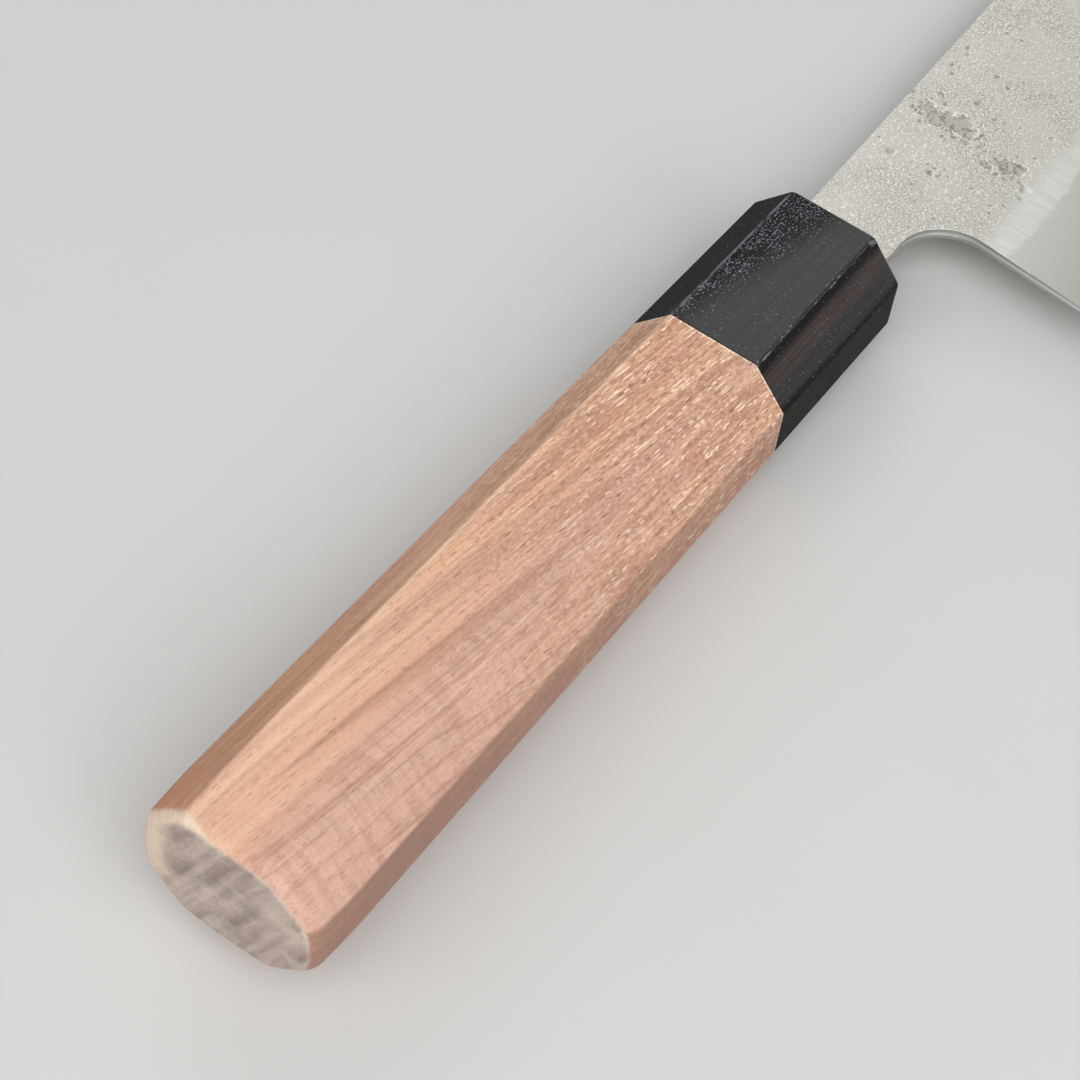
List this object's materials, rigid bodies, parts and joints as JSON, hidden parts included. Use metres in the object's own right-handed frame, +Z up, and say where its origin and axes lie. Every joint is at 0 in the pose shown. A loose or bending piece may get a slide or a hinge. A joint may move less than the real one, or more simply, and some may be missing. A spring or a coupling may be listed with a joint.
{
  "type": "santoku kitchen knife",
  "caption": "Santoku kitchen knife with a laminated, convex-ground blade and a hidden tang in an octagonal walnut handle with a black wood ferrule, lying on its side.",
  "frame": {"origin": "middle of the knife's footprint at table height, with the knife lying on its left side", "axes": "+X from the butt towards the tip, +Y towards the spine, +Z up, on the side of the blade's right face"},
  "size_m": [0.31, 0.053, 0.0269],
  "materials": {
    "core_steel": "ground and polished cutting steel",
    "cladding_steel": "matte pear-skin forging texture above a brushed bevel",
    "black_wood": "satin, fine straight grain",
    "walnut": "pale oiled walnut with open pores",
    "dowel_wood": "plain turned wood",
    "bedding_resin": "dark cured resin"
  },
  "bodies": {
    "root": {"core_steel": "core_steel", "right_cladding": "cladding_steel", "left_cladding": "cladding_steel", "ferrule": "black_wood", "handle_body": "walnut", "tang_dowel": "dowel_wood", "tang_bedding": "bedding_resin"}
  },
  "joints": []
}
